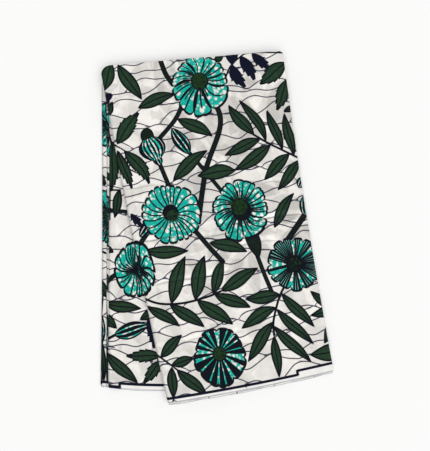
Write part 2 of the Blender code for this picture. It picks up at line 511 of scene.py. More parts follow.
def swell(x, y):
    """The cloth's slight unevenness all over."""
    waves = np.sin(41 * x + 1.2) * np.sin(33 * y + 0.4)
    waves += 0.6 * np.sin(88 * x - 67 * y) * np.sin(24 * y - 31 * x + 0.8)
    waves += 0.35 * np.sin(150 * x + 96 * y + 2.0) * np.sin(120 * y - 44 * x)
    return SWELL * waves


def rest_height(x, y):
    """The underside of the upper bundle, on the lower one and then down to the surface beside it."""
    return LOWER_TOP * smooth_fall((past_sides(UNDER, x, y) - DROOP_START) / DROOP_REACH)


def surface(x, y):
    return np.zeros_like(x)


# Where a fold lies: its panel, its print, what it rests on and its creases
Lay = namedtuple("Lay", "panel layout base ridges creases", defaults=(surface, (), ()))
TOP = Lay(FAN, TOP_PRINT, rest_height, TOP_RIDGES, TOP_CREASES)
FRONT = TOP._replace(layout=FRONT_PRINT)
BELOW = Lay(UNDER, UNDER_PRINT, surface, UNDER_RIDGES, UNDER_CREASES)
Fold = namedtuple(
    "Fold", "name node lay share low thick cells set_back forward rows flap slot",
    defaults=(0.0, 0.0, (0.0, 1.0), None, "printed_cotton"),
)

# The spacing of a fold's cells: along its edges, inside, and where it is covered
MARGIN = 0.020
EDGE_CELL = 0.004
INNER_CELL = (0.014, 0.009)
COVERED_CELL = 0.011
COVERED_MARGIN = 0.012


def spaced(total, *runs):
    """Steps from 0 to 1 along a length: each run goes to a distance at a spacing."""
    places = [0.0]
    for reach, spacing in runs:
        reach = min(reach, total)
        count = max(1, round((reach - places[-1]) / spacing))
        places += list(np.linspace(places[-1], reach, count + 1)[1:])
    return np.array(places) / places[-1]


def even_cells(panel, across, back):
    wide = width(panel)
    deep = length(panel)
    return spaced(wide, (wide, across)), spaced(deep, (deep, back))


def left_cells(panel, shown, across, back):
    """Fine cells where the left side shows, and coarse ones under the folds above."""
    wide = width(panel)
    runs = ((shown, across), (wide - COVERED_MARGIN, COVERED_CELL), (wide, EDGE_CELL))
    return spaced(wide, *runs), even_cells(panel, across, back)[1]


def edge_cells(panel):
    """Fine cells along the edges, and coarse ones inside."""
    wide = width(panel)
    deep = length(panel)
    across = spaced(wide, (MARGIN, EDGE_CELL), (wide - MARGIN, INNER_CELL[0]), (wide, EDGE_CELL))
    return across, spaced(deep, (deep - MARGIN, INNER_CELL[1]), (deep, EDGE_CELL))


def bag(across, back, flap):
    """A flat bag of cloth from 0 to 1 each way, closed at the left, right and back, open in front.

    Its height counts the rows of its rounded edge, and with a flap its underside is only a margin.
    """
    bm = bmesh.new()
    bmesh.ops.create_grid(bm, x_segments=across, y_segments=back, size=0.5)
    bmesh.ops.translate(bm, verts=bm.verts, vec=(0.5, 0.5, 0.0))
    raised = bmesh.ops.extrude_face_region(bm, geom=bm.faces[:])
    upper = [item for item in raised["geom"] if isinstance(item, bmesh.types.BMVert)]
    bmesh.ops.translate(bm, verts=upper, vec=(0.0, 0.0, 1.0))
    upright = [edge for edge in bm.edges if abs(edge.verts[0].co.z - edge.verts[1].co.z) > 0.5]
    bmesh.ops.subdivide_edges(bm, edges=upright, cuts=RIM_STEPS - 1, use_grid_fill=True)
    bmesh.ops.recalc_face_normals(bm, faces=bm.faces)
    opened = [face for face in bm.faces if all(vert.co.y < TINY for vert in face.verts)]
    if flap:
        for face in bm.faces:
            middle = face.calc_center_median()
            if middle.z < TINY and flap[0] < middle.x < 1 - flap[0] and middle.y < 1 - flap[1]:
                opened.append(face)
    bmesh.ops.delete(bm, geom=opened, context="FACES")
    return bm


def curve(path, steps=14):
    """Points on a smooth curve through a path's points."""
    points = np.array(path, dtype=float)
    if len(points) == 2:
        return points
    ends = np.vstack((2 * points[0] - points[1], points, 2 * points[-1] - points[-2]))
    t = np.linspace(0, 1, steps, endpoint=False)[:, None]
    runs = []
    for a, b, c, d in zip(ends, ends[1:], ends[2:], ends[3:]):
        square = 2 * a - 5 * b + 4 * c - d
        cube = 3 * b - a - 3 * c + d
        runs.append(0.5 * (2 * b + (c - a) * t + square * t**2 + cube * t**3))
    return np.vstack(runs + [points[-1:]])


def spray_leaves(spray):
    """Leaves up both sides of a stem, each at its own angle and size."""
    points = curve(spray.path)
    last = len(points) - 1
    leaves = []
    for way, sprigs in ((1, spray.left), (-1, spray.right)):
        for sprig in rows(Sprig, *sprigs):
            place = round(sprig.share * last)
            ahead = points[min(place + 1, last)] - points[max(place - 1, 0)]
            angle = math.atan2(ahead[1], ahead[0]) + way * math.radians(sprig.spread)
            tip = points[place] + sprig.length * np.array((math.cos(angle), math.sin(angle)))
            leaves.append(Leaf(points[place], tip, spray.width * sprig.wide, sprig.bend))
    return leaves


def nearer(kept, new):
    """What is kept of the nearest motif at each place, of which the first is the gap to it."""
    closer = new[0] < kept[0]
    return [np.where(closer, value, before) for value, before in zip(new, kept)]


def leaf_fields(leaves, x, y):
    """The gap to the nearest leaf's outline, the place across it, how far its tip is, and its kind."""
    kept = [np.full_like(x, FAR)] + [np.zeros_like(x)] * 3
    for leaf in leaves:
        share, aside, size = beside(leaf.base, leaf.tip, x, y)
        inside = np.clip(share, 0.0, 1.0)
        curved = leaf.bend * bulge(inside) - 0.012 * np.sin(FULL_TURN * inside)
        aside = aside - curved * size
        half = leaf.width / 2 * np.sin(np.pi * inside**0.90) ** SLIMNESS.get(leaf.kind, 0.90)
        past = np.abs(share - inside) * size
        gap = np.where(past > 0, np.hypot(aside, past), np.abs(aside) - half)
        kept = nearer(kept, (gap, aside, (1 - share) * size, leaf.kind))
    return kept


def stem_gap(stems, x, y):
    """The gap to the nearest stem's outline."""
    nearest = np.full_like(x, FAR)
    for stem in stems:
        points = curve(stem.path)
        for near, far in zip(points, points[1:]):
            share, aside, size = beside(near, far, x, y)
            past = (share - np.clip(share, 0.0, 1.0)) * size
            nearest = np.minimum(nearest, np.hypot(aside, past) - stem.width / 2)
    return nearest


def flower_fields(flowers, x, y):
    """The gap to the nearest flower, the place on it in its radii, and what the material is told."""
    names = sum(FLOWER_PARTS.values(), ())
    kept = [np.full_like(x, value) for value in (FAR, OFF_FLOWER, OFF_FLOWER)]
    kept += [np.zeros_like(x)] * len(names)
    for flower in flowers:
        dx = x - flower.centre[0]
        dy = (y - flower.centre[1]) / flower.squash
        angle = np.arctan2(dy, dx)
        lifted = flower.lift * np.cos(angle)
        reach = np.sqrt(flower.radius**2 - lifted**2) - flower.lift * np.sin(angle)
        make = {**flower._asdict(), "line": PETAL_LINE / flower.radius}
        told = [make[name] for name in names]
        kept = nearer(kept, (np.hypot(dx, dy) - reach, dx / reach, dy / reach, *told))
    return kept


def pressed_fields(lines, x, y):
    """How far to the side of the nearest pressed line places are, and how sharp it is there."""
    side = np.full_like(x, FAR)
    sharp = np.zeros_like(x)
    for line in lines:
        along, aside, _ = beside(line.start, line.end, x, y)
        along = np.clip(along, 0.0, 1.0)
        aside = aside + 1.2 * np.sin(along * 9 + line.start[1])
        closer = (np.abs(aside) < np.abs(side)) & (along > 0) & (along < 1)
        side = np.where(closer, aside, side)
        sharp = np.where(closer, line.strength * np.sqrt(bulge(along)), sharp)
    return side, sharp


def wave_fields(x, y):
    """How far to the side of the nearest wandering line places are, and whether it is near at all."""
    side = np.full_like(x, FAR)
    before = np.full_like(x, -FAR)
    for row in range(-2, ROW_COUNT):
        height = np.full_like(x, row * ROW_SPACING)
        slope = np.zeros_like(x)
        for number, sway in enumerate(ROW_SWAYS):
            angle = FULL_TURN * (x / sway.length + row * (0.38 + 0.31 * number) + 0.13 * number)
            height = height + sway.height * np.sin(angle)
            slope = slope + sway.height * np.cos(angle) * FULL_TURN / sway.length
        if row % 2:
            angle = FULL_TURN * (x / ROW_LEAN.length + row * 0.23)
            height = height - ROW_LEAN.height * (0.5 + 0.5 * np.sin(angle))
            slope = slope - ROW_LEAN.height * 0.5 * np.cos(angle) * FULL_TURN / ROW_LEAN.length
        rise = height - before
        height = before + np.minimum(rise, np.maximum((rise - ROWS_MEET) * 1.5, 0.0))
        before = height
        aside = (y - height) / np.sqrt(1 + slope * slope)
        side = np.where(np.abs(aside) < np.abs(side), aside, side)
    return side, 1 - np.abs(side) / ROW_REACH


def store(mesh, name, *columns):
    """Keeps up to three values for each point of a mesh under a name."""
    values = np.zeros((len(mesh.vertices), 3), dtype=np.float32)
    for number, column in enumerate(columns):
        values[:, number] = column
    mesh.attributes.new(name, "FLOAT_VECTOR", "POINT").data.foreach_set("vector", values.ravel())


def lay_print(mesh, layout, x, y, from_front, across, own):
    """Keeps, for each point of the cloth, where it lies among the print's motifs."""
    leaves = list(layout.leaves)
    stems = list(layout.stems)
    for spray in layout.sprays:
        leaves += spray_leaves(spray)
        stems.append(Stem(spray.path, SPRAY_STEM))
    gap, aside, along, kind = leaf_fields(leaves, x, y)
    flower_gap, place_x, place_y, *told = flower_fields(layout.flowers, x, y)
    side, crest = wave_fields(x, y)
    if not layout.leaves:
        crest = crest * 0.0
    seen = (SHOW_THROUGH.x - x, y - SHOW_THROUGH.y)
    seen_gap = np.minimum(leaf_fields(leaves, *seen)[0], flower_fields(layout.flowers, *seen)[0])
    store(mesh, "leaf", gap * MM, aside * MM, along * MM)
    store(mesh, "kinds", kind, stem_gap(stems, x, y) * MM)
    store(mesh, "flower", place_x, place_y, flower_gap * MM)
    for number, title in enumerate(FLOWER_PARTS):
        store(mesh, "flower_" + title.lower(), *told[number * 3:number * 3 + 3])
    store(mesh, "wave", side * MM, crest, seen_gap * MM)
    store(mesh, "edge", from_front, across, own)
    store(mesh, "border", *(value * MM for value in layout.border))
    side, sharp = pressed_fields(layout.pressed, x, y)
    store(mesh, "pressed", side * MM, sharp)


def own_axes(panel, x, y):
    """Places in a panel's own axes, in millimetres from its front left corner."""
    share, back, wide = beside(panel.front_left, panel.front_right, x, y)
    return share * wide / MM, back / MM


def shape_fold(fold, mesh):
    """Lays a bag over its panel, rounds its edges, lifts it by its creases and prints it."""
    places = np.empty(len(mesh.vertices) * 3)
    mesh.vertices.foreach_get("co", places)
    unit_x, unit_y, level = places.reshape(-1, 3).T
    row = np.round(level * RIM_STEPS).astype(int)
    angle = np.pi * (np.arange(RIM_STEPS + 1) / RIM_STEPS - 0.5)
    radius = fold.thick / 2
    share = (0.5 + 0.5 * np.sin(angle))[row]
    u, v = (
        np.interp(unit, np.linspace(0, 1, len(steps)), steps)
        for unit, steps in zip((unit_x, unit_y), fold.cells)
    )
    first, last = fold.rows
    v = lerp(first, last, v)
    panel = fold.lay.panel
    wide = width(panel)
    deep = length(panel)

    def at(inset):
        uneven = 1 + 0.45 * np.sin(v * 29 + fold.low * 9000) * (last - first)
        drawn = inset + fold.set_back * uneven
        return plan(panel, u + drawn / wide * (1 - 2 * u), v * (1 - drawn / deep))

    x, y = at(radius * (1 - np.cos(angle))[row])
    edge_x, edge_y = at(0.0)
    inner_x, inner_y = at(STEP_IN)
    forward = fold.forward * (1 + 0.3 * np.sin(u * 17 + fold.low * 7000)) * np.exp(-v * deep / 0.02)
    y = y - forward
    creases = ridge_height(fold.lay.ridges, x, y) + ridge_height(fold.lay.creases, x, y, CREASE_WANDER)
    z = fold.lay.base(x, y) + fold.low + share * fold.thick + fold.share * (creases + swell(x, y))

    reach = np.maximum(np.hypot(edge_x - inner_x, edge_y - inner_y), TINY)
    around = (math.pi / 2 - angle)[row] * radius / reach
    print_x, print_y = own_axes(panel, x + (edge_x - inner_x) * around, y + (edge_y - inner_y) * around)
    print_x = np.where(level < TINY, UNDERSIDE_MIRROR - print_x, print_x)
    lay_print(mesh, fold.lay.layout, print_x, print_y, v * deep + forward, u * wide, (v - first) * deep)
    map_cloth(mesh, print_x * MM, print_y * MM)

    placed = np.column_stack((x - MIDDLE[0], y - MIDDLE[1], np.maximum(z, 0.0)))
    mesh.vertices.foreach_set("co", placed.astype(np.float32).ravel())


def map_cloth(mesh, along_x, along_y):
    """A map in metres along the cloth, for its weave."""
    corners = np.empty(len(mesh.loops), dtype=int)
    mesh.loops.foreach_get("vertex_index", corners)
    weave = mesh.uv_layers.new(name="weave")
    weave.data.foreach_set("uv", np.column_stack((along_x, along_y))[corners].astype(np.float32).ravel())


def new_mesh(bm, name):
    mesh = bpy.data.meshes.new(name)
    bm.to_mesh(mesh)
    bm.free()
    return mesh


def new_object(name, data):
    thing = bpy.data.objects.new(name, data)
    bpy.context.scene.collection.objects.link(thing)
    return thing


def make_fold(fold, material):
    """One fold of the cloth, as a thin shell."""
    columns, lines = fold.cells
    panel = fold.lay.panel
    margin = (fold.flap / width(panel), fold.flap / length(panel)) if fold.flap else None
    mesh = new_mesh(bag(len(columns) - 1, len(lines) - 1, margin), fold.name)
    shape_fold(fold, mesh)
    mesh.shade_smooth()
    mesh.materials.append(material)
    piece = new_object(fold.name, mesh)
    shell = piece.modifiers.new("ply", "SOLIDIFY")
    shell.thickness = PLY
    shell.offset = -1.0
    return piece


class Wire:
    """A value in a material on which arithmetic can be done, each step of it a Math node."""

    def __init__(self, tree, socket):
        self.tree = tree
        self.socket = socket

    def math(self, operation, *others, clamp=False):
        inputs = dict(enumerate((self, *others)))
        return add_node(self.tree, "Math", inputs, operation=operation, use_clamp=clamp)[0]

    __add__ = partialmethod(math, "ADD")
    __sub__ = partialmethod(math, "SUBTRACT")
    __mul__ = partialmethod(math, "MULTIPLY")
    __truediv__ = partialmethod(math, "DIVIDE")
    __mod__ = partialmethod(math, "FLOORED_MODULO")
    __abs__ = partialmethod(math, "ABSOLUTE")

    def __rsub__(self, other):
        return (self * -1.0) + other


def plug(socket, value):
    """Joins a wire to a socket, or sets the socket."""
    if isinstance(value, Wire):
        value.tree.links.new(value.socket, socket)
    else:
        socket.default_value = value


def add_node(tree, kind, inputs=None, **settings):
    """Adds a node with its settings and its inputs, and gives its outputs as wires."""
    added = tree.nodes.new("ShaderNode" + kind)
    for name, value in settings.items():
        setattr(added, name, value)
    for title, value in (inputs or {}).items():
        plug(added.inputs[title], value)
    return [Wire(tree, socket) for socket in added.outputs]


def below(value, limit, soft):
    """A mask of 1 where a value is under a limit, with a soft edge."""
    return ((value - limit) * (-1.0 / soft)).math("ADD", 0.5, clamp=True)


def above(value, limit, soft):
    """A mask of 1 where a value is over a limit, with a soft edge."""
    return below(value, limit, -soft)


def tent(value, reach):
    """From 1 where a value is 0 down to 0 where it is as large as the reach."""
    return larger(1.0 - abs(value) / reach, 0.0)


def from_middle(value):
    """How far a value is from the middle of its step, from 0 to 0.5."""
    return abs(value.math("FRACT") - 0.5)


def from_centre(x, y):
    return (x * x + y * y).math("SQRT")


def larger(one, other):
    return one.math("MAXIMUM", other)


def sine(value):
    return value.math("SINE")


def split(wire):
    return add_node(wire.tree, "SeparateXYZ", {0: wire})


def point(x, y):
    return add_node(x.tree, "CombineXYZ", {0: x, 1: y})[0]


def dye(red, green, blue):
    """A colour from its values out of 255, as a screen shows them."""
    return tuple(((value / 255 + 0.055) / 1.055) ** 2.4 for value in (red, green, blue)) + (1.0,)


def over(mask, lower, upper, **settings):
    """The upper colour laid over the lower one where the mask is 1."""
    return add_node(mask.tree, "Mix", {0: mask, 6: lower, 7: upper}, data_type="RGBA", **settings)[2]


def brighten(share, colour):
    """A colour up to 1.6 times as bright where the share is 1, and never past white."""
    return over(share, colour, (1.6, 1.6, 1.6, 1.0), blend_type="MULTIPLY", clamp_result=True)


def noise(place, scale, detail=2.0):
    return add_node(place.tree, "TexNoise", {"Vector": place, "Scale": scale, "Detail": detail})[0]


def chance(number, seed):
    """A steady random value from 0 to 1 for each whole number."""
    return add_node(number.tree, "TexWhiteNoise", {"Vector": point(number, seed)}, noise_dimensions="2D")[0]


def spots(place, scale):
    """The distance to the nearest of many scattered spots, and a random value for that spot."""
    distance, colour = add_node(place.tree, "TexVoronoi", {"Vector": place, "Scale": scale})[:2]
    return distance, add_node(place.tree, "SeparateColor", {0: colour})[0]


def stored(tree, name):
    """The three values that the mesh keeps under a name, as a place."""
    return add_node(tree, "Attribute", attribute_name=name)[1]


def cloth_place(tree):
    """The place on the cloth, in metres."""
    return add_node(tree, "UVMap", uv_map="weave")[0]


def new_group(name, takes, gives):
    """A node group with named sockets: its tree, its inputs as wires, and its output node."""
    tree = bpy.data.node_groups.new(name, "ShaderNodeTree")
    for title, kind in takes.items():
        tree.interface.new_socket(title, in_out="INPUT", socket_type="NodeSocket" + kind)
    for title, kind in gives.items():
        tree.interface.new_socket(title, in_out="OUTPUT", socket_type="NodeSocket" + kind)
    start = tree.nodes.new("NodeGroupInput")
    wires = [Wire(tree, start.outputs[title]) for title in takes]
    return tree, wires, tree.nodes.new("NodeGroupOutput").inputs


def use_group(tree, group, **values):
    """Places a group in a tree and gives its outputs as wires."""
    return add_node(tree, "Group", values, node_tree=group)


INK = dye(11, 16, 24)
NAVY_INK = dye(12, 17, 36)
LINE_INK = dye(42, 39, 66)
TEAL_DYE = dye(30, 182, 165)
TEAL_DEEP = dye(18, 160, 146)
LEAF_DYE = dye(27, 49, 32)
LEAF_LIGHT = dye(46, 74, 51)
CALYX_DYE = dye(20, 38, 24)
STEM_DYE = dye(20, 31, 25)
STEM_DEEP = dye(13, 19, 24)
CENTRE_DYE = dye(27, 55, 26)
BARE = dye(243, 240, 235)
BARE_GREY = dye(195, 192, 187)
SPOT = dye(232, 229, 222)
WOVEN = dye(239, 237, 234)
THREAD = dye(158, 162, 172)
EDGE_THREAD = dye(86, 88, 108)
SHADE_DYE = dye(40, 44, 50)

# The soft edge of a printed shape, the navy border line's half width and the half height of its
# step, and the threads of the woven edge in a metre
CRISP = 0.0005
BORDER_HALF = 0.0023
RISER_HALF = 0.0050
EDGE_THREADS = 420.0


def flower_group():
    """A flower head: petals in lobes, with spots, dark lines, streaks or hatching, and its centre."""
    takes = dict.fromkeys(("Place", *FLOWER_PARTS), "Vector")
    tree, (place, *parts), gives = new_group("flower heads", takes, {"Colour": "Color", "Mask": "Float"})
    x, y, gap = split(place)
    make, (dark, hatched, fringe), (disc, ring, shade), (depth, bold, swell) = map(split, parts)
    petals, group, seed = [value.math("ROUND") for value in make]
    plain = 1.0 - larger(dark, hatched)
    out = from_centre(x, y)
    angle = y.math("ARCTAN2", x)
    warped = angle + sine(angle * 3.0 + seed) * 0.08 + sine(angle * 5.0 + seed * 1.7) * 0.03
    twist = out * out * plain * 0.6
    turned = warped * petals / FULL_TURN + sine(angle * 2.0 + seed) * twist
    turned = turned + sine(out * 5.0 + seed) * plain * 0.24
    ahead = math.pi / 2
    rate = sine(angle * 3.0 + seed + ahead) * 0.24 + sine(angle * 5.0 + seed * 1.7 + ahead) * 0.15 + 1.0
    rate = rate + sine(angle * 2.0 + seed + ahead) * twist * (2 * FULL_TURN) / petals
    wrapped = turned % petals
    edge_number = ((turned + 0.5) % petals).math("FLOOR")
    from_rib = from_middle(turned)
    from_edge = from_middle(turned + 0.5)
    petal_width = out * FULL_TURN / petals / rate
    luck = chance(wrapped.math("FLOOR"), seed)
    edge_luck = chance(edge_number, seed + 11.0)
    between_lobes = below((edge_number + 0.25) % group, 0.5, 0.1)

    notch = from_rib * from_rib * from_rib * from_rib * 16.0
    lobe = from_middle(wrapped / group)
    lobe_notch = (lobe * lobe * 4.0).math("POWER", 3.0)
    uneven = sine(angle * 2.0 + seed) * 0.028 + sine(angle * 5.0 + seed * 2.0) * 0.026
    several = (group - 1.0).math("MINIMUM", 1.0)
    reach = uneven + 0.985 - notch * (0.065 - several * 0.035) - lobe_notch * depth
    rim = out - reach - (luck - 0.5) * plain * (0.06 - several * 0.045)

    flat_place = point(x, y)
    mottle = noise(flat_place, 14.0, 3.0)
    moved = point(x + mottle * 0.05, y + mottle * 0.04)
    distance, spot_luck = spots(moved, 6.4)
    blotch = below(distance, spot_luck * 0.30 + 0.26, 0.12) * below(spot_luck, 0.78, 0.02)
    distance, spot_luck = spots(moved, 13.0)
    speck = below(distance, 0.40, 0.20) * below(spot_luck, 0.24, 0.02)
    colour = over(below(mottle, 0.5, 0.2), TEAL_DYE, TEAL_DEEP)
    colour = over(larger(blotch, speck * 0.7), colour, SPOT)

    middle = larger((out - 0.26) * (0.90 - out) * 9.5, 0.0)
    wedge = between_lobes * middle * (edge_luck * 0.7 + 0.3) * swell
    drawn = larger(between_lobes, below(out, edge_luck * 0.5 + 0.76, 0.02)) * plain
    fineness = (out * 1.8 + 0.25).math("MINIMUM", 1.0)
    parted = below(from_edge * petal_width, wedge + fineness * bold, 0.012) * drawn
    veined = below(out, luck * 0.95, 0.02) * plain * several
    vein = below(from_rib * petal_width, fineness * bold * 0.85, 0.012) * veined
    streak = (edge_luck * edge_luck * (hatched * 0.10 + 0.24) + 0.07) * (out * 0.6 + 0.62)
    filled = above(from_edge, streak, 0.03)
    fine = below(from_middle(turned * 5.0), 0.58 - out * 0.22, 0.10)
    colour = over(filled * hatched, colour, over(mottle * 0.5, TEAL_DYE, SPOT))
    bordered = below(abs(from_edge - streak) * petal_width, 0.024, 0.012)
    hatch = larger(fine * filled, bordered) * hatched
    strokes = below(from_middle(turned * 3.0), 0.30, 0.16)
    fringed = strokes * below(out, disc + ring + fringe * (luck * 0.7 + 0.3), 0.03)
    for mask in (parted, vein, hatch, fringed, filled * dark):
        colour = over(mask, colour, INK)
    colour = over(above(rim, bold * -3.0, 0.014), colour, INK)

    ragged = noise(flat_place, 7.0) * 0.06 - 0.03
    seeds, seed_luck = spots(flat_place, 21.0)
    sown = below(seeds, seed_luck * 0.45 + out * 0.8 + hatched * 0.25 + ring * 1.5, 0.15)
    black_out = from_centre(x - shade * 0.2, y + shade * 0.5)
    green_out = from_centre(x + shade * 0.2, y - shade * 0.5)
    colour = over(below(black_out, disc + ring + ragged, 0.014), colour, INK)
    colour = over(below(green_out, disc + ragged * 0.5, 0.012), colour, over(sown, CENTRE_DYE, INK))
    plug(gives["Colour"], colour)
    plug(gives["Mask"], below(rim, 0.0, 0.012) * below(gap, 4 * MM, MM))
    return tree


def leaf_group():
    """A leaf, a toothed leaf, a navy leaflet, a striped bud or a dark calyx, by its kind."""
    takes = {"Place": "Vector", "Kind": "Float"}
    tree, (place, kind), gives = new_group("leaves and buds", takes, {"Colour": "Color", "Mask": "Float"})
    gap, across, along = split(place)
    navy, bud, calyx = [below(abs(kind - which), 0.4, 0.02) for which in (NAVY, BUD, CALYX)]
    toothed = below(abs(kind - (TOOTHED + NAVY) / 2), 0.75, 0.02)
    toothed = toothed * below(along, 0.034 - navy * 0.010, 0.003)
    tooth = (along / 0.0105).math("FRACT") - 0.7
    gap = gap + tooth * toothed * (navy * 0.0012 + 0.0026)

    flat_place = point(across, along)
    streaks = noise(point(across * 6.0, along), 110.0)
    light = below(streaks, 0.46, 0.4) * below(gap, -0.0045, 0.006)
    rib = below(abs(across), 0.0011, CRISP) * below(gap, -0.0020, 0.0006)
    colour = over(rib, over(light, LEAF_DYE, LEAF_LIGHT), INK)
    colour = over(navy, colour, NAVY_INK)

    ratio = across / (abs(across) - gap + 0.0004)
    stripe = from_middle(ratio * ((kind - BUD) * 7.0 + 1.7) + 0.25)
    glint = over(below(noise(flat_place, 130.0), 0.47, 0.06), TEAL_DYE, SPOT)
    opened = (kind - BUD) * 4.0
    closed = below(stripe, noise(flat_place, 60.0) * 0.30 + 0.24 - opened * 0.10, 0.05)
    sides = above(abs(ratio), 0.62, 0.04) * below(stripe, 0.45, 0.03) * opened
    colour = over(bud, colour, over(larger(closed, sides), glint, INK))
    fibre = below(noise(point(across * 9.0, along), 120.0), 0.5, 0.1)
    colour = over(calyx, colour, over(fibre, CALYX_DYE, INK))
    colour = over(above(gap, -0.0029, 0.0007) * (1.0 - navy), colour, INK)
    plug(gives["Colour"], colour)
    plug(gives["Mask"], below(gap, 0.0, CRISP))
    return tree


def ground_group():
    """Off-white cotton, greyer where the folds beneath show through, with thin wandering lines."""
    takes = {"Wave": "Vector", "Place": "Vector"}
    tree, (wave, place), gives = new_group("ground", takes, {"Colour": "Color"})
    side, crest, seen = split(wave)
    x, y, _ = split(place)
    cloud = noise(place, 24.0, 3.0)
    soft = noise(place, 130.0)
    _, facet = spots(point(x + cloud * 0.02 + soft * 0.006, y * 0.8 + soft * 0.008), 62.0)
    grey = below(seen, 0.0, 0.003) * 0.45 + below(cloud, 0.50, 0.2) * 0.35 + facet * 0.50 - 0.05
    colour = over(grey.math("ADD", 0.0, clamp=True), BARE, BARE_GREY)
    waver = noise(place, 60.0) * 0.0004 + 0.00082
    line = below(abs(side), waver, CRISP) * above(crest, 0.64, 0.04)
    plug(gives["Colour"], over(line * 0.95, colour, LINE_INK))
    return tree


def print_group(flowers, leaves, ground):
    """The whole print, with its navy border line near the woven edge and bare cloth past it."""
    tree, _, gives = new_group("wax print", {}, {"Colour": "Color"})
    kind, stem, _ = split(stored(tree, "kinds"))
    from_front, across, own = split(stored(tree, "edge"))
    low, high, step = split(stored(tree, "border"))
    place = cloth_place(tree)

    (colour,) = use_group(tree, ground, Wave=stored(tree, "wave"), Place=place)
    streaks = below(noise(place, 260.0), 0.5, 0.2)
    on_stem = below(stem, 0.0, CRISP)
    colour = over(on_stem, colour, INK)
    colour = over(below(stem, -0.0015, CRISP), colour, over(streaks, STEM_DYE, STEM_DEEP))
    leaf, leaf_mask = use_group(tree, leaves, Place=stored(tree, "leaf"), Kind=kind)
    colour = over(leaf_mask, colour, leaf)
    parts = {title: stored(tree, "flower_" + title.lower()) for title in FLOWER_PARTS}
    flower, flower_mask = use_group(tree, flowers, Place=stored(tree, "flower"), **parts)
    colour = over(flower_mask, colour, flower)

    stepped = below(across, step, 0.0002)
    line = low * stepped + high * (1.0 - stepped)
    bare = below(from_front, line, 0.0003)
    threads = below(from_middle(from_front * EDGE_THREADS), 0.16, 0.1) * below(noise(place, 50.0), 0.5, 0.2)
    colour = over(bare, colour, over(threads * 0.35, WOVEN, THREAD))
    colour = over(below(own, 0.0009, CRISP) * bare * 0.5, colour, EDGE_THREAD)
    colour = over(on_stem * bare, colour, NAVY_INK)
    flat_line = below(abs(from_front - line), BORDER_HALF, CRISP)
    riser = below(abs(across - step), BORDER_HALF, CRISP)
    riser = riser * below(abs(from_front - (low + high) / 2.0), RISER_HALF, CRISP)
    plug(gives["Colour"], over(larger(flat_line, riser), colour, NAVY_INK))
    return tree


def weave_group():
    """Plain weave and pressed lines: a height, slub tone and painted shade, and a painted highlight."""
    takes = {"Thread": "Float", "Depth": "Float"}
    kinds = dict.fromkeys(("Height", "Shade", "Worn"), "Float")
    tree, (thread, depth), gives = new_group("plain weave", takes, kinds)
    place = cloth_place(tree)
    x, y, _ = split(place)
    warp = sine(x * math.pi / thread)
    weft = sine(y * math.pi / thread)
    slub = noise(point(x * 0.12, y), 1400.0) + noise(point(x, y * 0.12), 1400.0)
    soft = noise(place, 170.0, 3.0)
    crumple, _ = spots(point(x + soft * 0.012, y * 0.8 + soft * 0.012), 60.0)
    height = warp * weft * depth + slub * 0.00003 + soft * 0.00022 + crumple * 0.0012
    _, across, _ = split(stored(tree, "edge"))
    edge = tent(across, 0.0065)
    pressed, sharp, _ = split(stored(tree, "pressed"))
    groove = tent(pressed, 0.0024) * sharp
    # Painted shade: a dark line along the groove of each pressed line
    line = below(abs(pressed), 0.0013, 0.0016) * sharp
    plug(gives["Height"], height - edge * edge * 0.0045 - groove * 0.0028)
    # Shade: the slubs' uneven tone, less painted shade on the pressed lines and along each fold's left edge
    plug(gives["Shade"], slub * 0.05 + 0.95 - line * 0.26 - tent(across, 0.0022) * 0.18)
    # Painted highlight: a paler band just behind each pressed line, where the print is made brighter
    plug(gives["Worn"], tent(pressed - 0.0050, 0.0055) * sharp * 0.70)
    return tree


def new_material(name, values):
    """A material with plain values on its shader's own sockets, and that shader."""
    material = bpy.data.materials.new(name)
    material.use_nodes = True
    shader = material.node_tree.nodes["Principled BSDF"]
    for title, value in values.items():
        shader.inputs[title].default_value = value
    return material, shader


def cotton_material(name, printed, weave, thread, roughness, sheen):
    """Printed cotton, or its woven edge, with a plain weave and a light starch."""
    material, shader = new_material(name, {
        "Roughness": roughness,
        "Specular IOR Level": 0.07,
        "Sheen Weight": sheen,
        "Sheen Roughness": 0.5,
    })
    tree = material.node_tree
    (colour,) = use_group(tree, printed)
    height, shade, painted_highlight = use_group(tree, weave, Thread=thread, Depth=0.00004)
    # Base colour: the print, brighter by the painted highlight behind pressed lines and darker by painted
    # shade on pressed lines and fold edges
    plug(shader.inputs["Base Color"], over((1.0 - shade) * 2.0, brighten(painted_highlight, colour), SHADE_DYE))
    bump = add_node(tree, "Bump", {"Strength": 0.55, "Distance": 1.0, "Height": height})[0]
    plug(shader.inputs["Normal"], bump)
    return material


def make_materials():
    printed = print_group(flower_group(), leaf_group(), ground_group())
    weave = weave_group()
    return {
        name: cotton_material(name, printed, weave, thread, roughness, sheen)
        for name, thread, roughness, sheen in (
            ("printed_cotton", 0.00045, 0.70, 0.015),
            ("woven_edge", 0.00060, 0.76, 0.03),
        )
    }


# How thick a panel's two folds and a layer's one are, the air between two folds, how far a layer
# lies over the one before, and the gap between a layer's woven edge and its hidden part
BENEATH = 0.0009
OUTER = 0.00105
LAYER = 0.0010
AIR = 0.00005
LAYER_RISE = 0.0011
SEAM_GAP = 0.0004


def panel_folds(node, lay, share, low, cells, drawn, flap=None):
    """A panel's outer fold and the one beneath it, which is drawn in and comes forward."""
    beneath = Fold(node + "_beneath", node, lay, share, low, BENEATH, edge_cells(lay.panel), *drawn)
    return [beneath, Fold(node + "_outer", node, lay, 1.0, low + BENEATH + AIR, OUTER, cells, flap=flap)]


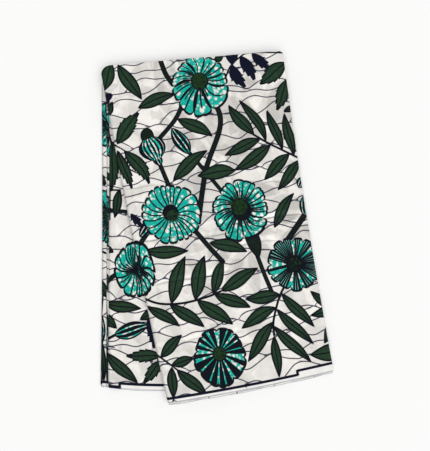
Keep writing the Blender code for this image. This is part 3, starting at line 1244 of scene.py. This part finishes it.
def stack_of_folds():
    """Every fold from the surface up: the lower bundle, stepped at the left, and the fanned upper one."""
    folds = []
    strips = (
        ("left_fold_lower", Lay(LOWER_STRIP, LOWER_STRIP_PRINT), 0.0, 0.00145),
        ("left_fold_upper", Lay(UPPER_STRIP, UPPER_STRIP_PRINT), UPPER_STRIP_BASE, 0.00115),
    )
    for node, lay, low, thick in strips:
        cells = left_cells(lay.panel, 0.016, 0.0015, 0.0028)
        folds.append(Fold(node + "_beneath", node, lay, 0.0, low, thick, cells, 0.0006, 0.0012))
        folds.append(Fold(node + "_outer", node, lay, 0.0, low + thick + AIR, thick, cells))
    cells = left_cells(UNDER, 0.118, 0.0022, 0.0026)
    folds += panel_folds("under_panel", BELOW, 0.8, UNDER_BASE, cells, (0.0012, 0.0014))

    seam = FRONT_DEPTH / length(FAN)
    layers = (
        ("front_layer_lower", 0.0014, 0.0036),
        ("front_layer_lower", 0.0021, 0.0022),
        ("front_layer_upper", 0.0006, 0.0030),
        ("front_layer_upper", 0.0015, 0.0010),
    )
    for number, (node, set_back, forward) in enumerate(layers):
        low = number * LAYER_RISE
        share = 0.2 * (number + 1)
        folds.append(Fold(
            f"{node}_{number % 2 + 1}", node, FRONT, share, low, LAYER,
            even_cells(FAN, 0.003, 0.006), set_back, forward, (0.0, seam), slot="woven_edge",
        ))
        folds.append(Fold(
            f"hidden_layers_{number + 1}", "hidden_layers", TOP, share, low, LAYER,
            edge_cells(FAN), set_back, rows=(seam + SEAM_GAP, 1.0),
        ))
    cells = even_cells(FAN, 0.00225, 0.0022)
    return folds + panel_folds("top_panel", TOP, 1.0, HIDDEN + FRONT_GAP, cells, (0.0011, 0.0006), FLAP)


def declare(piece, fold):
    """Hangs a fold on the root body and hides the imported part that it stands for."""
    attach(piece, "root")
    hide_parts(fold.node)


# A plain pale floor, soft light from the front, and a pale surround
FLOOR_HALF = 6.0
FLOOR_DROP = 0.0003
FLOOR_COLOUR = (0.93, 0.93, 0.928, 1.0)
SURROUND_STRENGTH = 0.47
LAMP_PLACE = Vector((0.35, -1.0, 2.1))
LAMP_SPREAD = 80.0
LAMP_STRENGTH = 2.02
LAMP_COLOUR = (1.0, 0.997, 0.99)

# The camera looks down at the cloth from a little in front of it, as the photo does
CAMERA_ELEVATION = 80.0
CAMERA_DISTANCE = 1.5
VIEW_HEIGHT = 0.78023
SENSOR = 36.0


def aim(thing, place, direction):
    """Puts a lamp or a camera at a place, facing a direction."""
    thing.location = place
    thing.rotation_euler = direction.to_track_quat("-Z", "Y").to_euler()


def studio():
    bm = bmesh.new()
    bmesh.ops.create_grid(bm, x_segments=1, y_segments=1, size=FLOOR_HALF)
    bmesh.ops.translate(bm, verts=bm.verts, vec=(0.0, 0.0, -FLOOR_DROP))
    mesh = new_mesh(bm, "floor")
    floor = new_object("floor", mesh)
    looks = {"Base Color": FLOOR_COLOUR, "Roughness": 0.9, "Specular IOR Level": 0.1}
    mesh.materials.append(new_material("pale_floor", looks)[0])

    world = bpy.data.worlds.new("surround")
    world.use_nodes = True
    background = world.node_tree.nodes["Background"]
    background.inputs["Color"].default_value = (1.0, 1.0, 1.0, 1.0)
    background.inputs["Strength"].default_value = SURROUND_STRENGTH
    bpy.context.scene.world = world

    lamp = bpy.data.lights.new("key", "SUN")
    lamp.angle = math.radians(LAMP_SPREAD)
    lamp.energy = LAMP_STRENGTH
    lamp.color = LAMP_COLOUR
    aim(new_object("key", lamp), LAMP_PLACE, -LAMP_PLACE)


def camera():
    lens = bpy.data.cameras.new("camera")
    lens.sensor_fit = "VERTICAL"
    lens.sensor_height = SENSOR
    lens.lens = SENSOR * CAMERA_DISTANCE / VIEW_HEIGHT
    eye = new_object("camera", lens)
    up = math.radians(CAMERA_ELEVATION)
    away = Vector((0.0, -math.cos(up), math.sin(up)))
    aim(eye, Vector((-MIDDLE[0], -MIDDLE[1], 0.0)) + away * CAMERA_DISTANCE, -away)
    bpy.context.scene.camera = eye


camera()
studio()
bpy.context.scene.view_settings.view_transform = "Standard"
materials = make_materials()
for fold in stack_of_folds():
    piece = make_fold(fold, materials[fold.slot])
    declare(piece, fold)
